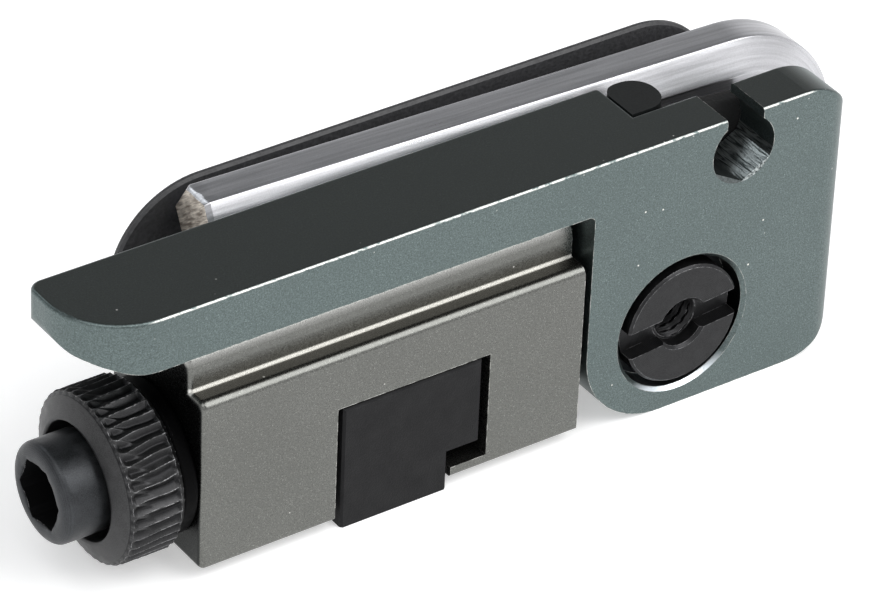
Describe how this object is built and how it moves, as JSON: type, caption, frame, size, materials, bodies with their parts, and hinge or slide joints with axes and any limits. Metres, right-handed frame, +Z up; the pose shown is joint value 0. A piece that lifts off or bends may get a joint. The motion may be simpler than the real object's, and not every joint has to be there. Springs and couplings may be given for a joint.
{
  "type": "chain tool",
  "caption": "Folding bicycle chain tool: L-shaped frame, chain block on a pivot, hex drive screw with knurled lock ring, slot plug and stored L-key.",
  "frame": {"origin": "on the resting surface, straight below the pivot axis and half-way through the leg's thickness", "axes": "+Z up, +X along the arm towards the leg, +Y towards the back where the L-key is stored"},
  "size_m": [0.0772, 0.0174, 0.0259],
  "materials": {
    "frame_anodised": "satin anodised, fine bead-blast",
    "block_anodised": "satin anodised",
    "black_steel": "black oxide",
    "black_plastic": "fine moulded texture",
    "plug_plastic": "fine moulded texture",
    "key_steel": "drawn bar, satin nickel",
    "plain_steel": "zinc plated",
    "hard_steel": "ground",
    "bronze": "sintered bronze",
    "magnet": "nickel plated"
  },
  "bodies": {
    "tool_frame": {"frame": "frame_anodised", "pivot_nut": "black_steel", "pivot_screw": "black_steel", "pivot_thrust_washer": "plain_steel", "pivot_wave_washer": "plain_steel", "key_post": "black_steel", "key_carrier": "black_plastic", "key_magnet": "magnet", "carrier_screws": "black_steel"},
    "folding_block": {"chain_block": "block_anodised", "pivot_bush": "bronze", "anvil_bush": "hard_steel", "ring_washer": "black_steel"},
    "lock_ring_body": {"lock_ring": "black_steel"},
    "pusher": {"press_pin": "hard_steel"},
    "drive": {"drive_screw": "black_steel", "pin_retainer": "plain_steel"},
    "plug": {"slot_plug": "plug_plastic", "plug_magnet": "magnet"},
    "l_key": {"hex_key": "key_steel"}
  },
  "joints": [
    {"name": "fold", "type": "hinge", "parent": "tool_frame", "child": "folding_block", "pos_m": [0, 0, 0.0077], "axis": [0, -1, 0], "range_deg": [0, 90]},
    {"name": "ring_turn", "type": "hinge", "parent": "folding_block", "child": "lock_ring_body", "pos_m": [-0.049, 0.00425, 0.0081], "axis": [1, 0, 0], "range_deg": [-180, 0]},
    {"name": "pin_feed", "type": "slide", "parent": "folding_block", "child": "pusher", "axis": [1, 0, 0], "range_m": [0, 0.007]},
    {"name": "screw_turn", "type": "hinge", "parent": "pusher", "child": "drive", "pos_m": [-0.047, 0.00425, 0.0081], "axis": [1, 0, 0], "range_deg": [0, 2016.1]},
    {"name": "plug_pull", "type": "slide", "parent": "folding_block", "child": "plug", "axis": [0, -1, 0], "range_m": [0, 0.016]},
    {"name": "key_lift", "type": "slide", "parent": "tool_frame", "child": "l_key", "axis": [0, 0, 1], "range_m": [0, 0.03]}
  ],
  "couplings": [
    {"joint": "screw_turn", "follows": "pin_feed", "rad_per_m": 5026.5}
  ]
}
